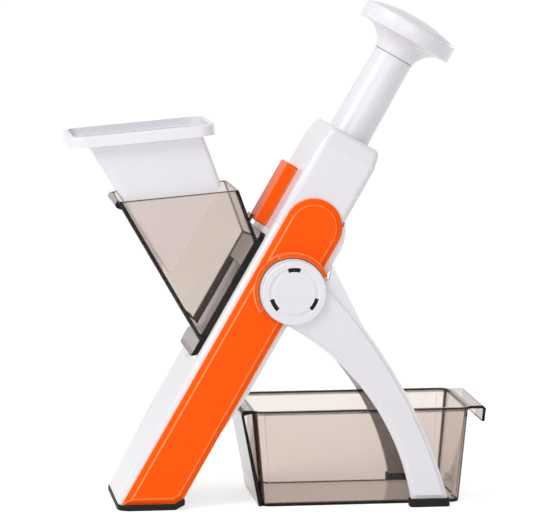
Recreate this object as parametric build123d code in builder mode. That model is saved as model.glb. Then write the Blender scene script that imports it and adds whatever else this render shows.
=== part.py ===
from build123d import *
import math
import os

os.makedirs("parts", exist_ok=True)

# Manual vegetable slicer: a leaning press tower on a rubber foot and two folding rear legs.
# The origin is on the floor, under the tower's mid-line. +X runs to the rear, where the tray stands,
# and +Z is up. Along the tower, u runs up its axis and v runs out of its front face.
# Right is the -Y side and left the +Y side.

# Tower
lean = 60.0
overrun = 3.0
slide_gap = 0.4
seat_gap = 0.25
body_width = 86.0
front_v = 26.8
toe_v = 23.5
toe_u = 55.0
rear_v = 20.5
heel_v = 17.0
heel_u = 75.0
hip_u = 112.0
corner_radius = 5.0
front_wall = 3.5
side_wall = 2.8
seam_u = 233.0
tower_rear_v = 19.6

# Rubber foot under the tower
foot_height = 4.2
foot_front_x = 25.5
foot_flat_x = 17.5
foot_tail_x = 24.8
foot_tail_rise = 3.8
foot_lip = 0.8
foot_corner = 10.0
base_floor = 4.0

# Press stroke, feed window and the heights that follow from them
stroke = 62.0
window_high_u = 191.0
window_width = 66.0
edge_lead = 3.0
edge_trail = 1.0
knob_stop_gap = 6.0

# Tower cover and the bush that guides the handle
cover_wall = 3.0
cover_top_wall = 4.0
cover_top_block = 16.0
tower_headroom = 38.0
cover_shoulder = 14.0
cover_inset = 2.5
cover_top_round = 4.5
cover_rear_round = 5.0
shaft_v = 3.6
shaft_diameter = 33.0
shaft_top_diameter = 31.0
shaft_wall = 3.5
bush_wall = 2.5
bush_fit = 0.06
shaft_mouth_gap = 0.3

# Rear cover over the return mechanism
rear_cover_low_u = 168.0
rear_cover_high_u = 258.0
rear_cover_depth = 6.5
rear_cover_slope = 22.0
rear_cover_wall = 2.2
bulge_mid_shares = (0.62, 0.72)
ledge_u = 222.0
ledge_width = 11.0
ledge_depth = 8.0
screw_fit = 0.05

# Side panels
panel_thickness = 3.5
panel_front_v = 21.8
panel_low_rear_v = 16.7
panel_high_rear_v = 22.0
panel_top_u = 243.0
panel_step_u = 196.0
panel_bevel = 4.2
panel_bevel_depth = 1.5
panel_step = 0.5
panel_step_taper = 45.0
lip_inner = 25.4
lip_outer = 28.6
lip_height = 5.0
lip_low_height = 1.4
lip_start_angle = 22.0
lip_split_angle = 112.0
lip_end_angle = 213.0
lip_stop_sweep_angle = 7.0
lip_stop_inner = 23.4
ear_radius = 17.0

# Leg pivots
hub_x = 105.2
hub_z = 163.8
stub_diameter = 16.0
stub_flange_diameter = 23.0
stub_flange = 3.0
stub_fit = 0.05
retainer_diameter = 26.0
retainer_thickness = 1.5
pivot_screw_diameter = 5.0
pivot_screw_head = 9.0
pivot_screw_head_height = 1.6
pivot_screw_length = 14.0

# Rear legs
leg_inner_gap = 2.7
leg_plate = 7.0
leg_raise = 2.0
leg_border = 3.0
leg_skin = 2.4
leg_wall = 2.6
leg_rib = 2.0
leg_rib_angle = 30.0
leg_hub_radius = 24.6
leg_reach = 103.2
leg_foot_width = 27.6
leg_horn_tip_x = 29.3
leg_horn_tip_z = 19.8
leg_horn_root_x = 27.2
leg_horn_root_z = 8.6
leg_horn_foot_x = 57.0
leg_horn_foot_z = 35.6
shoe_height = 5.7
shoe_lip = 1.4
shoe_corner = 3.0
peg_length = 16.0
peg_width = 5.0
peg_height = 4.0
peg_fit = 0.05
cap_diameter = 48.0
cap_thickness = 3.2
cap_groove_inner_share = 0.655
cap_groove_outer_share = 0.80
cap_groove_depth = 0.7
cap_slot_outer_share = 0.785
cap_slot_sweep_angle = 31.0
cap_slot_count = 3
cap_round = 0.8
cap_slot_start_angle = 90.0
hub_ring_inner_share = 0.62
hub_ring_outer_share = 0.79
hub_ring_depth = 1.6
hub_pad_drop = 0.2
hub_pad_trim = 0.8

# The leg's outline, as shares of its reach and of its drop below the pivot
leg_back_start_angle = 18.6
leg_back_mid_shares = (0.729, 0.384)
leg_arch_start_angle = -112.0
leg_arch_mid_shares = (0.495, 0.458)
leg_rib_shares = (0.30, 0.52, 0.74)

# Handle
neck_height = 15.5
knob_diameter = 75.0
knob_rim = 13.0
knob_dome = 5.5
knob_edge = 2.4
knob_edge_share = 0.2929
knob_dome_lean = 0.35
neck_waist_share = 0.30
knob_spigot = 10.0
spigot_fit = 0.05
handle_screw_diameter = 5.0
handle_screw_head = 10.0
handle_screw_head_height = 3.0
handle_screw_length = 20.0

# Blade carriage on its two guide rods
carriage_gap = 0.5
carriage_half_width = 39.2
carriage_plate = 4.0
blade_overhang = 4.0
plate_lap = 9.0
bridge_height = 12.0
deck_lap = 8.0
slice_slot = 8.0
deck_drop = 6.5
deck_thickness = 3.0
cheek_thickness = 3.0
cheek_depth = 10.0
lug_length = 10.0
shaft_boss_wall = 2.0
rod_diameter = 5.0
rod_y = 35.4
rod_v = 8.0
rod_fit = 0.05
rod_seat_u = 172.0
rod_seat_height = 8.0
rod_seat_depth = 5.0
rod_seat_width = 9.5
rod_top_depth = 8.0
spring_wire = 0.9
spring_gap = 0.3
spring_end_gap = 0.3

# Blades
blade_thickness = 0.8
blade_height = 22.0
blade_bevel = 3.0
blade_width = 72.0
blade_screw_diameter = 4.0
blade_screw_head = 7.0
blade_screw_head_height = 1.8
blade_screw_y = 30.0
julienne_pitch = 10.0
julienne_count = 6
julienne_thickness = 0.7
julienne_length = 12.0
julienne_rise = 5.8

# Hopper
hopper_width = 75.0
hopper_wall = 2.2
chute_angle = 60.0
rear_chute_angle = 50.0
chute_low_u = 125.0
chute_high_u = 210.9
hopper_front_v = 136.0
hopper_rear_v = 61.6
flange = 4.2
flange_width = 77.0
flange_low_u = 114.5
flange_high_u = 221.0
flange_corner = 6.0
hinge_relief_length = 3.4
hinge_relief_height = 2.9
bead_diameter = 2.6
bead_sink = 1.0
bead_length = 13.0
bead_neck = 1.3
pocket_gap = 0.6
pocket_ramp = 6.5
pocket_side_gap = 0.6
tab_width = 18.0
tab_gap = 0.8
tab_lap = 3.0
tab_thickness = 2.4
hopper_round = 5.0
mouth_lip = 3.0
mouth_lip_edge = 2.4
mouth_lip_drop = 8.0

# Pusher
pusher_front_gap = 2.4
pusher_side_gap = 1.65
pusher_rear_gap = 8.1
pusher_draft = 1.8
pusher_wall = 2.2
pusher_floor = 3.0
pusher_lift = 46.8
pusher_floor_v = 74.3
pusher_corner = 4.0
rim_length = 109.0
rim_width = 82.0
rim_height = 8.2
rim_corner = 12.0
rim_shift = 2.2
rim_band = 4.0
rim_web = 2.2
rim_round = 1.2
stud_diameter = 4.0
stud_height = 2.5
stud_taper = 30.0
stud_pitch = 16.0
stud_rows = 4
stud_columns = 3

# Hopper latch on its rail
latch_length = 50.0
latch_width = 28.0
latch_thickness = 9.7
latch_round = 2.0
latch_travel = 6.0
latch_slot_length = 4.5
latch_slot_width = 3.2
latch_slot_depth = 1.6
latch_slot_share = 0.62
rail_low_u = 239.2
rail_high_u = 259.2
rail_stem = 10.0
rail_stem_height = 2.8
rail_head = 16.0
rail_head_height = 2.2
latch_floor = 4.0
latch_spring_solid = 4.0
latch_spring_diameter = 4.4

# Tray
tray_rim_x = 76.0
tray_length = 165.0
tray_width = 93.0
tray_height = 73.0
tray_draft_x = 7.0
tray_draft_y = 4.0
tray_wall = 2.0
tray_corner = 9.0
tray_rim_lip = 1.2
tray_rim_height = 2.4
tray_handle_reach = 13.0
tray_handle_drop = 12.0
tray_handle_wall = 2.2
tray_handle_lean = 1.1
tray_skirt_reach = 8.0
tray_skirt_wall = 2.0
tray_skirt_foot = 8.0
tray_edge_inset = 1.5

# Screws that hold the covers
cover_screw_diameter = 3.5
cover_screw_head = 6.5
cover_screw_head_height = 1.8
cover_screw_length = 9.0


# Directions and planes of the leaning tower
tilt = math.radians(lean)
up_axis = Vector(math.cos(tilt), 0, math.sin(tilt))
out_axis = Vector(-math.sin(tilt), 0, math.cos(tilt))


def spot(u, v, y=0):
    """Point of the tower at height u along its axis, v out of its front and y across."""
    return up_axis * u + out_axis * v + Vector(0, y, 0)


def uv(x, z):
    """Tower coordinates of a point of the mid-plane."""
    return (x * math.cos(tilt) + z * math.sin(tilt), z * math.cos(tilt) - x * math.sin(tilt))


def u_at(v, z):
    """Height along the axis at which the line at v crosses the level z."""
    return (z - v * math.cos(tilt)) / math.sin(tilt)


def side_plane(y):
    """Upright plane across y, with sketches in (u, v) and its normal along -Y."""
    return Plane(origin=(0, y, 0), x_dir=up_axis, z_dir=(0, -1, 0))


def cross_plane(u, v=0, y=0):
    """Plane square to the tower, with sketches in (y, v) and its normal up the axis."""
    return Plane(origin=spot(u, v, y), x_dir=(0, 1, 0), z_dir=up_axis)


def face_plane(v):
    """Plane along the tower's front, with sketches in (-y, u) and its normal out of the front."""
    return Plane(origin=spot(0, v), x_dir=(0, -1, 0), z_dir=out_axis)


def hub_plane(y):
    """Upright plane across y about the leg pivot, with sketches in (x, z) and its normal along -Y."""
    return Plane(origin=(hub_x, y, hub_z), x_dir=(1, 0, 0), z_dir=(0, -1, 0))


def ring_sector(inner, outer, start, sweep):
    """Flat face between two arcs about the sketch's origin."""
    with BuildLine() as outline:
        far = CenterArc((0, 0), outer, start, sweep)
        near = CenterArc((0, 0), inner, start, sweep)
        Line(far @ 0, near @ 0)
        Line(far @ 1, near @ 1)
    make_face(outline.edges())


def finish(builder, name):
    """Label a piece and write it."""
    builder.part.label = name
    export_step(builder.part, "parts/" + name + ".step")


axis_line = Axis((0, 0, 0), tuple(up_axis))
front_line = Axis((0, 0, 0), tuple(out_axis))
half_width = body_width / 2
inner_half = half_width - side_wall
inner_front_v = front_v - front_wall
panel_y = half_width + panel_thickness
floor_z = foot_height + base_floor
tail_z = foot_height + foot_tail_rise
blade_edge_u = window_high_u + edge_lead
window_low_u = blade_edge_u - stroke + edge_trail
carriage_top_u = window_high_u + stroke + plate_lap
tower_top_u = carriage_top_u + tower_headroom + cover_top_block
seam_shaft_u = tower_top_u + stroke + knob_stop_gap
bulge_v = rear_v + rear_cover_depth
window_mid_u = (window_low_u + window_high_u) / 2
window_height = window_high_u - window_low_u
bead_u = flange_low_u + bead_diameter
bead_v = front_v - bead_sink
latch_low_u = rail_low_u - latch_travel - latch_spring_solid - latch_floor
rod_low_u = rod_seat_u - rod_seat_depth
cavity_top_u = tower_top_u - cover_top_block
bush_top_u = tower_top_u - cover_top_wall
rod_high_u = cavity_top_u + rod_top_depth
rear_screw_y = inner_half - ledge_width / 2
rod_places = ((-rod_y, rod_v), (rod_y, rod_v))

# Rubber foot: a band under the tower's base, turned up at its heel
foot_half = panel_y + foot_lip
foot_points = [
    (-foot_front_x, 0),
    (foot_flat_x, 0),
    (foot_tail_x, foot_tail_rise),
    (foot_tail_x, tail_z),
    (foot_flat_x, foot_height),
    (-foot_front_x, foot_height),
]
with BuildPart() as body_foot:
    with BuildSketch(Plane.XZ):
        Polygon(*foot_points, align=None)
    extrude(amount=foot_half, both=True)
    fillet(body_foot.edges().filter_by(Axis.Z).sort_by(Axis.X)[:2], foot_corner)
finish(body_foot, "body_foot")

# Main housing: the lower moulded channel, closed in front but for the feed window and open to the rear
heel_points = [uv(foot_tail_x, tail_z), uv(foot_flat_x, foot_height)]
housing_points = [
    (u_at(toe_v, foot_height), toe_v),
    (toe_u, front_v),
    (seam_u, front_v),
    (seam_u, -bulge_v),
    (rear_cover_low_u + rear_cover_slope, -bulge_v),
    (rear_cover_low_u, -rear_v),
    (hip_u, -rear_v),
    (heel_u, -heel_v),
    heel_points[0],
    heel_points[1],
]
cavity_points = [
    (u_at(toe_v - front_wall, floor_z), toe_v - front_wall),
    (toe_u, inner_front_v),
    (seam_u + overrun, inner_front_v),
    (seam_u + overrun, -bulge_v - overrun),
    (hip_u, -bulge_v - overrun),
    (u_at(-heel_v - overrun, tail_z + base_floor), -heel_v - overrun),
    uv(foot_flat_x, floor_z),
]
pocket_low_u = bead_u - bead_diameter / 2 - pocket_gap
pocket_high_u = bead_u + bead_diameter / 2 + pocket_gap
pocket_floor_v = bead_v - bead_diameter / 2 - pocket_gap
pocket_points = [
    (pocket_low_u, pocket_floor_v),
    (pocket_high_u, pocket_floor_v),
    (pocket_high_u, front_v + overrun),
    (pocket_low_u - pocket_ramp, front_v + overrun),
    (pocket_low_u - pocket_ramp, front_v),
]
seat_inner_y = inner_half - rod_seat_width
with BuildPart() as main_housing:
    with BuildSketch(side_plane(0)):
        Polygon(*housing_points, align=None)
    extrude(amount=half_width, both=True)
    fillet(main_housing.edges().filter_by(axis_line).sort_by(front_line)[-2:], corner_radius)
    with BuildSketch(side_plane(0)):
        Polygon(*cavity_points, align=None)
    extrude(amount=inner_half, both=True, mode=Mode.SUBTRACT)
    with BuildSketch(face_plane(front_v + overrun)):
        with Locations((0, window_mid_u)):
            Rectangle(window_width, window_height)
    extrude(amount=-front_wall - 2 * overrun, mode=Mode.SUBTRACT)
    with BuildSketch(side_plane(0)):
        Polygon(*pocket_points, align=None)
    extrude(amount=bead_length / 2 + pocket_side_gap, both=True, mode=Mode.SUBTRACT)
    with BuildSketch(cross_plane(rod_seat_u)):
        for side in (-1, 1):
            with Locations((side * (seat_inner_y + inner_half) / 2, rod_v)):
                Rectangle(rod_seat_width, rod_seat_width)
    extrude(amount=-rod_seat_height)
    with BuildSketch(cross_plane(rod_seat_u)):
        with Locations(*rod_places):
            Circle(rod_diameter / 2 + rod_fit)
    extrude(amount=-rod_seat_depth, mode=Mode.SUBTRACT)
    with BuildSketch(hub_plane(0)):
        Circle(stub_diameter / 2 + stub_fit)
    extrude(amount=half_width + overrun, both=True, mode=Mode.SUBTRACT)
    with BuildSketch(face_plane(-bulge_v + rear_cover_wall)):
        for side in (-1, 1):
            with Locations((side * rear_screw_y, ledge_u)):
                Rectangle(ledge_width, ledge_width)
    extrude(amount=ledge_depth)
    with BuildSketch(face_plane(-bulge_v)):
        for side in (-1, 1):
            with Locations((side * rear_screw_y, ledge_u)):
                Circle(cover_screw_diameter / 2 + screw_fit)
    extrude(amount=rear_cover_wall + ledge_depth, mode=Mode.SUBTRACT)
finish(main_housing, "main_housing")

# Tower cover: the closed upper shell, drawn in at its top, with the rail that carries the latch
shoulder_u = tower_top_u - cover_shoulder
tower_depth = front_v + tower_rear_v
tower_mid_v = (front_v - tower_rear_v) / 2


def tower_section(inset):
    """Rounded section of the tower, drawn in by an inset."""
    with Locations((0, tower_mid_v)):
        Rectangle(body_width - 2 * inset, tower_depth - 2 * inset)


bulge_middle = (
    seam_u + bulge_mid_shares[0] * (rear_cover_high_u - seam_u),
    -tower_rear_v - bulge_mid_shares[1] * (bulge_v - tower_rear_v),
)
with BuildPart() as tower_cover:
    with BuildSketch(cross_plane(seam_u)) as tower_root:
        tower_section(0)
        fillet(tower_root.vertices().group_by(Axis.Y)[-1], corner_radius)
        fillet(tower_root.vertices().group_by(Axis.Y)[0], cover_rear_round)
    extrude(amount=shoulder_u - seam_u)
    with BuildSketch(cross_plane(shoulder_u)) as shoulder_low:
        tower_section(0)
        fillet(shoulder_low.vertices().group_by(Axis.Y)[-1], corner_radius)
        fillet(shoulder_low.vertices().group_by(Axis.Y)[0], cover_rear_round)
    with BuildSketch(cross_plane(tower_top_u)) as shoulder_high:
        tower_section(cover_inset)
        fillet(shoulder_high.vertices().group_by(Axis.Y)[-1], corner_radius)
        fillet(shoulder_high.vertices().group_by(Axis.Y)[0], cover_rear_round)
    loft()
    fillet(tower_cover.faces().sort_by(axis_line)[-1].outer_wire().edges(), cover_top_round)
    with BuildSketch(side_plane(0)):
        with BuildLine():
            Polyline((rear_cover_high_u, -tower_rear_v), (seam_u, -tower_rear_v), (seam_u, -bulge_v))
            ThreePointArc((seam_u, -bulge_v), bulge_middle, (rear_cover_high_u, -tower_rear_v))
        make_face()
    extrude(amount=half_width, both=True)
    with BuildSketch(cross_plane(seam_u)):
        with Locations((0, (inner_front_v - tower_rear_v + cover_wall) / 2)):
            Rectangle(body_width - 2 * cover_wall, inner_front_v + tower_rear_v - cover_wall)
    extrude(amount=cavity_top_u - seam_u, mode=Mode.SUBTRACT)
    with BuildSketch(cross_plane(cavity_top_u)):
        with Locations(*rod_places):
            Circle(rod_diameter / 2 + rod_fit)
    extrude(amount=rod_top_depth, mode=Mode.SUBTRACT)
    with BuildSketch(cross_plane(cavity_top_u, shaft_v)):
        Circle(shaft_diameter / 2 + bush_wall)
    extrude(amount=bush_top_u - cavity_top_u, mode=Mode.SUBTRACT)
    with BuildSketch(cross_plane(cavity_top_u, shaft_v)):
        Circle(shaft_diameter / 2 + shaft_mouth_gap)
    extrude(amount=cover_top_block + overrun, mode=Mode.SUBTRACT)
    with BuildSketch(face_plane(front_v)):
        with Locations((0, (rail_low_u + rail_high_u) / 2)):
            Rectangle(rail_stem, rail_high_u - rail_low_u)
    extrude(amount=rail_stem_height)
    with BuildSketch(face_plane(front_v + rail_stem_height)):
        with Locations((0, (rail_low_u + rail_high_u) / 2)):
            Rectangle(rail_head, rail_high_u - rail_low_u)
    extrude(amount=rail_head_height)
finish(tower_cover, "tower_cover")

# Bush in the tower's top, in which the handle runs
with BuildPart() as shaft_bush:
    with BuildSketch(cross_plane(bush_top_u, shaft_v)):
        Circle(shaft_diameter / 2 + bush_wall - screw_fit)
        Circle(shaft_diameter / 2 + bush_fit, mode=Mode.SUBTRACT)
    extrude(amount=cavity_top_u - bush_top_u)
finish(shaft_bush, "shaft_bush")

# Rear cover: a cranked plate between the housing's walls, which closes the back above the outlet
cover_end_u = seam_u - seat_gap
cover_bend_u = rear_cover_low_u + rear_cover_slope
rear_cover_points = [
    (rear_cover_low_u, -rear_v),
    (cover_bend_u, -bulge_v),
    (cover_end_u, -bulge_v),
    (cover_end_u, -bulge_v + rear_cover_wall),
    (cover_bend_u, -bulge_v + rear_cover_wall),
    (rear_cover_low_u, -rear_v + rear_cover_wall),
]
with BuildPart() as rear_cover:
    with BuildSketch(side_plane(0)):
        Polygon(*rear_cover_points, align=None)
    extrude(amount=inner_half - seat_gap, both=True)
    with BuildSketch(face_plane(-bulge_v)):
        for side in (-1, 1):
            with Locations((side * rear_screw_y, ledge_u)):
                Circle(cover_screw_diameter / 2 + screw_fit)
    extrude(amount=rear_cover_wall, mode=Mode.SUBTRACT)
finish(rear_cover, "rear_cover")

# Screws that hold the rear cover, driven from behind
with BuildPart() as rear_cover_screws:
    with BuildSketch(face_plane(-bulge_v)):
        for side in (-1, 1):
            with Locations((side * rear_screw_y, ledge_u)):
                Circle(cover_screw_head / 2)
    extrude(amount=-cover_screw_head_height)
    with BuildSketch(face_plane(-bulge_v)):
        for side in (-1, 1):
            with Locations((side * rear_screw_y, ledge_u)):
                Circle(cover_screw_diameter / 2)
    extrude(amount=cover_screw_length)
finish(rear_cover_screws, "rear_cover_screws")

# Side panels: bevelled plates with a round top and a raised lip that guards the leg's hub
panel_top_v = (panel_front_v - panel_high_rear_v) / 2
panel_top_radius = (panel_front_v + panel_high_rear_v) / 2
with BuildPart() as side_panel_right:
    with BuildSketch(side_plane(-half_width)):
        with BuildLine():
            toe = (u_at(panel_front_v, foot_height), panel_front_v)
            heel = uv(foot_tail_x, tail_z)
            Line(toe, (panel_top_u, panel_front_v))
            ThreePointArc(
                (panel_top_u, panel_front_v),
                (panel_top_u + panel_top_radius, panel_top_v),
                (panel_top_u, -panel_high_rear_v),
            )
            Polyline(
                (panel_top_u, -panel_high_rear_v),
                (panel_step_u, -panel_high_rear_v),
                (panel_step_u, -panel_low_rear_v),
                (heel[0], -panel_low_rear_v),
                uv(foot_flat_x, foot_height),
                toe,
            )
        make_face()
    extrude(amount=panel_thickness - panel_step)
    outer_face = side_panel_right.faces().sort_by(Axis.Y)[0]
    chamfer(outer_face.edges(), panel_bevel, panel_bevel_depth, reference=outer_face)
    extrude(side_panel_right.faces().sort_by(Axis.Y)[0], amount=panel_step, taper=panel_step_taper)
    with BuildSketch(hub_plane(-panel_y)):
        ring_sector(lip_inner, lip_outer, lip_start_angle, lip_split_angle - lip_start_angle)
    extrude(amount=lip_height)
    with BuildSketch(hub_plane(-half_width)):
        ring_sector(lip_inner, lip_outer, lip_start_angle, lip_split_angle - lip_start_angle)
        ring_sector(lip_stop_inner, lip_outer, lip_start_angle, lip_stop_sweep_angle)
        Circle(ear_radius)
    extrude(amount=panel_thickness)
    with BuildSketch(hub_plane(-panel_y)):
        ring_sector(lip_inner, lip_outer, lip_split_angle, lip_end_angle - lip_split_angle)
    extrude(amount=lip_low_height)
    with BuildSketch(hub_plane(0)):
        Circle(stub_diameter / 2 + stub_fit)
    extrude(amount=panel_y + overrun, mode=Mode.SUBTRACT)
finish(side_panel_right, "side_panel_right")
with BuildPart() as side_panel_left:
    mirror(side_panel_right.part, about=Plane.XZ)
finish(side_panel_left, "side_panel_left")

# Leg pivots: a flanged stub through each wall, a thrust washer, and a retainer held by a screw
leg_in_y = panel_y + leg_inner_gap
leg_out_y = leg_in_y + leg_plate
stub_end_y = leg_out_y - retainer_thickness
with BuildPart() as pivot_stub_right:
    with BuildSketch(hub_plane(-inner_half + stub_flange)):
        Circle(stub_flange_diameter / 2)
    extrude(amount=stub_flange)
    with BuildSketch(hub_plane(-inner_half)):
        Circle(stub_diameter / 2)
    extrude(amount=stub_end_y - inner_half)
    with BuildSketch(hub_plane(-stub_end_y)):
        Circle(pivot_screw_diameter / 2 + screw_fit)
    extrude(amount=-pivot_screw_length, mode=Mode.SUBTRACT)
finish(pivot_stub_right, "pivot_stub_right")
with BuildPart() as pivot_washer_right:
    with BuildSketch(hub_plane(-panel_y)):
        Circle(lip_inner - slide_gap)
        Circle(stub_diameter / 2 + stub_fit, mode=Mode.SUBTRACT)
    extrude(amount=leg_inner_gap - slide_gap)
finish(pivot_washer_right, "pivot_washer_right")
with BuildPart() as pivot_retainer_right:
    with BuildSketch(hub_plane(-stub_end_y)):
        Circle(retainer_diameter / 2)
        Circle(pivot_screw_diameter / 2 + screw_fit, mode=Mode.SUBTRACT)
    extrude(amount=retainer_thickness)
finish(pivot_retainer_right, "pivot_retainer_right")
with BuildPart() as pivot_screw_right:
    with BuildSketch(hub_plane(-leg_out_y)):
        Circle(pivot_screw_head / 2)
    extrude(amount=pivot_screw_head_height)
    with BuildSketch(hub_plane(-leg_out_y)):
        Circle(pivot_screw_diameter / 2)
    extrude(amount=-pivot_screw_length)
finish(pivot_screw_right, "pivot_screw_right")

# Rear legs: arched arms with a raised outer face and a horn behind the hub, hollow and ribbed inside
leg_drop = hub_z - shoe_height
cap_radius = cap_diameter / 2
cap_y = leg_out_y + leg_raise
back_angle = math.radians(leg_back_start_angle)
arch_angle = math.radians(leg_arch_start_angle)
back_start = (leg_hub_radius * math.cos(back_angle), leg_hub_radius * math.sin(back_angle))
arch_start = (leg_hub_radius * math.cos(arch_angle), leg_hub_radius * math.sin(arch_angle))
back_mid = (leg_back_mid_shares[0] * leg_reach, -leg_back_mid_shares[1] * leg_drop)
arch_mid = (leg_arch_mid_shares[0] * leg_reach, -leg_arch_mid_shares[1] * leg_drop)
back_end = (leg_reach + leg_foot_width / 2, -leg_drop)
arch_end = (leg_reach - leg_foot_width / 2, -leg_drop)
horn_points = [
    (leg_horn_tip_x, leg_horn_tip_z),
    (leg_horn_root_x, leg_horn_root_z),
    (0, 0),
    (leg_horn_foot_x, -leg_horn_foot_z),
]


def leg_arm():
    """Arched outline of a leg from its hub to its foot."""
    with BuildLine() as outline:
        ThreePointArc(back_start, back_mid, back_end)
        Line(back_end, arch_end)
        ThreePointArc(arch_end, arch_mid, arch_start)
        Polyline(arch_start, (0, 0), back_start)
    make_face(outline.edges())


with BuildPart() as leg_right:
    with BuildSketch(hub_plane(-leg_in_y)):
        leg_arm()
        Circle(leg_hub_radius)
        Polygon(*horn_points, align=None)
    extrude(amount=leg_plate)
    with BuildSketch(hub_plane(-leg_out_y)) as raised:
        leg_arm()
        Circle(leg_hub_radius)
        offset(amount=-leg_border, mode=Mode.REPLACE)
    extrude(amount=leg_raise)
    with BuildSketch(hub_plane(-leg_in_y)):
        leg_arm()
        offset(amount=-leg_wall, mode=Mode.REPLACE)
        Circle(leg_hub_radius, mode=Mode.SUBTRACT)
        for share in leg_rib_shares:
            with Locations((share * leg_reach, -share * leg_drop)):
                Rectangle(leg_reach, leg_rib, rotation=leg_rib_angle, mode=Mode.SUBTRACT)
    extrude(amount=leg_plate - leg_skin, mode=Mode.SUBTRACT)
    with BuildSketch(hub_plane(-leg_in_y)):
        Circle(stub_diameter / 2 + stub_fit)
    extrude(amount=leg_plate + leg_raise, mode=Mode.SUBTRACT)
    with BuildSketch(hub_plane(-stub_end_y + slide_gap)):
        Circle(retainer_diameter / 2 + slide_gap)
    extrude(amount=leg_plate + leg_raise, mode=Mode.SUBTRACT)
    with BuildSketch(hub_plane(-cap_y)):
        Circle(cap_radius * hub_ring_outer_share + screw_fit)
        Circle(cap_radius * hub_ring_inner_share - screw_fit, mode=Mode.SUBTRACT)
    extrude(amount=-hub_ring_depth, mode=Mode.SUBTRACT)
    with BuildSketch(Plane.XY.offset(shoe_height)):
        with Locations((hub_x + leg_reach, -(leg_in_y + leg_out_y) / 2)):
            Rectangle(peg_length, peg_width)
    extrude(amount=-peg_height)
finish(leg_right, "leg_right")

# Hub caps: snap-on discs with a ring groove and three slots
slot_inner = cap_radius * cap_groove_inner_share
slot_outer = cap_radius * cap_slot_outer_share
slot_turns = [cap_slot_start_angle + turn * 360 / cap_slot_count for turn in range(cap_slot_count)]
with BuildPart() as hub_cap_right:
    with BuildSketch(hub_plane(-cap_y)):
        Circle(cap_radius)
    extrude(amount=cap_thickness)
    fillet(hub_cap_right.faces().sort_by(Axis.Y)[0].edges(), cap_round)
    with BuildSketch(hub_plane(-cap_y - cap_thickness)):
        Circle(cap_radius * cap_groove_outer_share)
        Circle(cap_radius * cap_groove_inner_share, mode=Mode.SUBTRACT)
    extrude(amount=-cap_groove_depth, mode=Mode.SUBTRACT)
    with BuildSketch(hub_plane(-cap_y - cap_thickness)):
        for turn in slot_turns:
            ring_sector(slot_inner, slot_outer, turn - cap_slot_sweep_angle / 2, cap_slot_sweep_angle)
    extrude(amount=-cap_thickness, mode=Mode.SUBTRACT)
finish(hub_cap_right, "hub_cap_right")

# Black rings under the hub caps, with a pad that fills each of a cap's slots
pad_sweep = cap_slot_sweep_angle - hub_pad_trim
with BuildPart() as hub_ring_right:
    with BuildSketch(hub_plane(-cap_y)):
        Circle(cap_radius * hub_ring_outer_share)
        Circle(cap_radius * hub_ring_inner_share, mode=Mode.SUBTRACT)
    extrude(amount=-hub_ring_depth)
    with BuildSketch(hub_plane(-cap_y)):
        for turn in slot_turns:
            ring_sector(slot_inner + screw_fit, slot_outer - screw_fit, turn - pad_sweep / 2, pad_sweep)
    extrude(amount=cap_thickness - cap_groove_depth - hub_pad_drop)
finish(hub_ring_right, "hub_ring_right")

# Rubber shoes on the legs
with BuildPart() as leg_shoe_right:
    with BuildSketch():
        with Locations((hub_x + leg_reach, -(leg_in_y + leg_out_y + leg_raise) / 2)):
            Rectangle(leg_foot_width + 2 * shoe_lip, leg_plate + leg_raise + 2 * shoe_lip)
    extrude(amount=shoe_height)
    fillet(leg_shoe_right.edges().filter_by(Axis.Z), shoe_corner)
    with BuildSketch(Plane.XY.offset(shoe_height)):
        with Locations((hub_x + leg_reach, -(leg_in_y + leg_out_y) / 2)):
            Rectangle(peg_length + 2 * peg_fit, peg_width + 2 * peg_fit)
    extrude(amount=-peg_height - peg_fit, mode=Mode.SUBTRACT)
finish(leg_shoe_right, "leg_shoe_right")

# The left side mirrors the right
mirrored = {
    "pivot_stub": pivot_stub_right,
    "pivot_washer": pivot_washer_right,
    "pivot_retainer": pivot_retainer_right,
    "pivot_screw": pivot_screw_right,
    "leg": leg_right,
    "hub_cap": hub_cap_right,
    "hub_ring": hub_ring_right,
    "leg_shoe": leg_shoe_right,
}
for name, source in mirrored.items():
    with BuildPart() as left_piece:
        mirror(source.part, about=Plane.XZ)
    finish(left_piece, name + "_left")

# Guide rods: two ground steel rods from the seats in the housing to the tower's top
for name, place in zip(("right", "left"), rod_places):
    with BuildPart() as guide_rod:
        with BuildSketch(cross_plane(rod_low_u)):
            with Locations(place):
                Circle(rod_diameter / 2)
        extrude(amount=rod_high_u - rod_low_u)
    finish(guide_rod, "guide_rod_" + name)

# Return springs round the rods, sealed in the tower behind the rear cover
lug_low_u = carriage_top_u - lug_length
for name, place in zip(("right", "left"), rod_places):
    with BuildPart() as return_spring:
        with BuildSketch(cross_plane(rod_seat_u + spring_end_gap)):
            with Locations(place):
                Circle(rod_diameter / 2 + spring_gap + spring_wire)
                Circle(rod_diameter / 2 + spring_gap, mode=Mode.SUBTRACT)
        extrude(amount=lug_low_u - rod_seat_u - 2 * spring_end_gap)
    finish(return_spring, "return_spring_" + name)

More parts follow.
